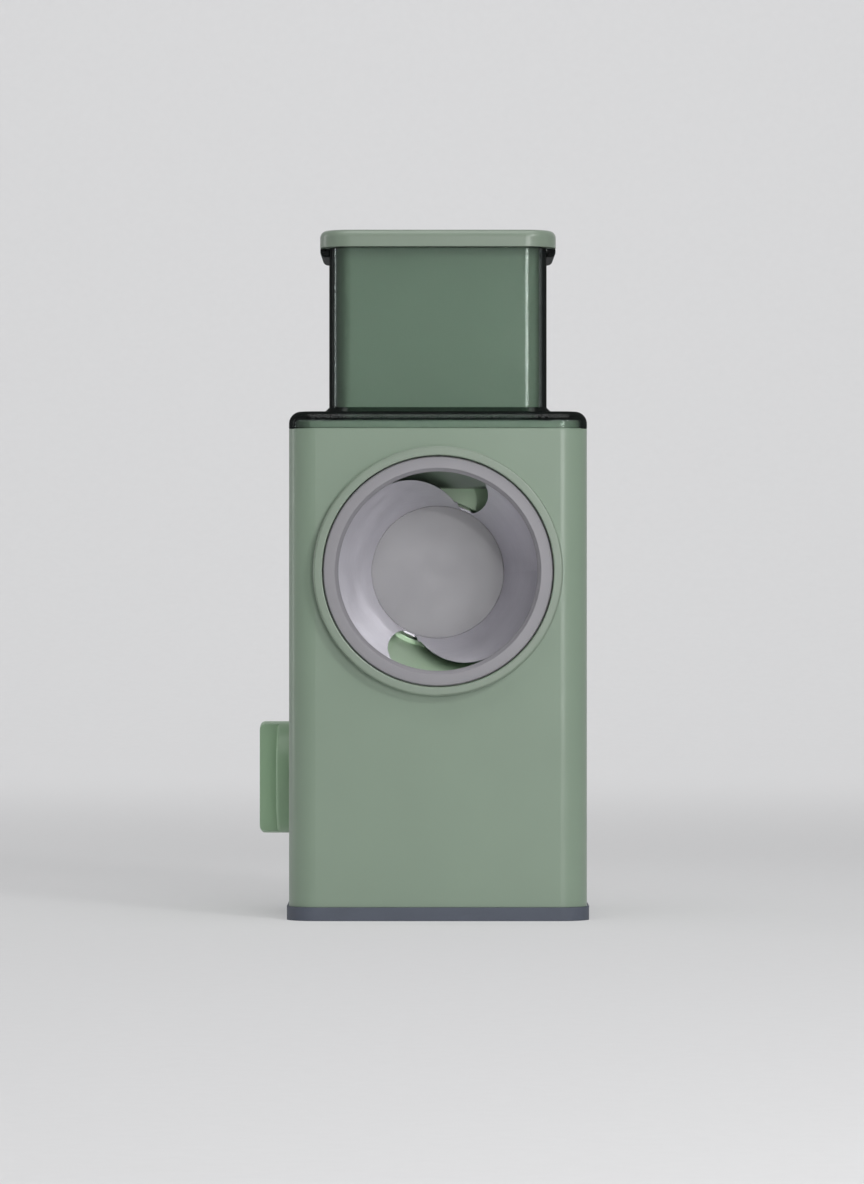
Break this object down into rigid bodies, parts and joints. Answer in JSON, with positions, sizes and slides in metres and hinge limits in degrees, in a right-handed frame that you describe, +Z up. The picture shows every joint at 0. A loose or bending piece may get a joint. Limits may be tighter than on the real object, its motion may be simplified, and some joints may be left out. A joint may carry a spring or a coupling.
{
  "type": "rotary drum vegetable slicer",
  "caption": "Upright hand-cranked vegetable slicer with a clear square feed hopper and pusher, a round front outlet with a conical slicing drum, a rear crank and a side suction-lock knob.",
  "frame": {"origin": "centre of the foot's underside, on the table", "axes": "+Z up, -Y towards the user out of the drum's mouth, +X to the right seen from the front; the crank is at +Y and the suction knob at -X"},
  "size_m": [0.1227, 0.1749, 0.255],
  "materials": {
    "green_plastic": "moulded light green, semi-gloss",
    "smoky_clear": "smoky clear plastic, polished",
    "grey_plastic": "moulded light grey",
    "white_acetal": "natural acetal",
    "grey_rubber": "soft blue-grey rubber",
    "cup_rubber": "soft suction rubber",
    "drum_steel": "satin stainless sheet",
    "blade_steel": "ground stainless",
    "screw_steel": "plated steel"
  },
  "bodies": {
    "housing": {"body_shell": "green_plastic", "drum_chamber": "green_plastic", "front_collar": "green_plastic", "rear_bush": "white_acetal", "chamber_screws": "screw_steel", "foot_pad": "grey_rubber", "base_cover": "green_plastic", "base_screws": "screw_steel"},
    "hopper": {"feed_hopper": "smoky_clear"},
    "pusher": {"pusher_body": "green_plastic", "pusher_cap": "green_plastic"},
    "crank": {"drive_shaft": "screw_steel", "crank_arm": "green_plastic", "crank_screw": "screw_steel", "grip_pin": "screw_steel"},
    "grip": {"crank_grip": "green_plastic", "grip_cap": "green_plastic"},
    "drum": {"drum_front_ring": "grey_plastic", "drum_cone": "drum_steel", "slicing_blades": "blade_steel", "drum_hub": "grey_plastic"},
    "knob": {"cam_shaft": "screw_steel", "lift_cam": "white_acetal", "shaft_clip": "screw_steel", "lock_knob": "green_plastic", "knob_screw": "screw_steel"},
    "suction": {"stem_yoke": "white_acetal", "suction_cup": "cup_rubber", "clamp_washer": "screw_steel", "stem_screw": "screw_steel"}
  },
  "joints": [
    {"name": "hopper_lift", "type": "slide", "parent": "housing", "child": "hopper", "axis": [0, 0, 1], "range_m": [0, 0.06]},
    {"name": "pusher_lift", "type": "slide", "parent": "hopper", "child": "pusher", "axis": [0, 0, 1], "range_m": [0, 0.095]},
    {"name": "crank_turn", "type": "hinge", "parent": "housing", "child": "crank", "pos_m": [0, 0.056, 0.1285], "axis": [0, 1, 0], "continuous": true},
    {"name": "grip_turn", "type": "hinge", "parent": "crank", "child": "grip", "pos_m": [0, 0.09, 0.0545], "axis": [0, 1, 0], "continuous": true},
    {"name": "drum_pull", "type": "slide", "parent": "crank", "child": "drum", "axis": [0, -1, 0], "range_m": [0, 0.105]},
    {"name": "knob_turn", "type": "hinge", "parent": "housing", "child": "knob", "pos_m": [-0.055, 0, 0.0512], "axis": [1, 0, 0], "range_deg": [0, 90]},
    {"name": "suction_pull", "type": "slide", "parent": "housing", "child": "suction", "axis": [0, 0, 1], "range_m": [0, 0.0042], "deforming": ["suction_cup"]}
  ],
  "couplings": [
    {"joint": "suction_pull", "follows": "knob_turn", "m_per_rad": 0.0025465}
  ]
}
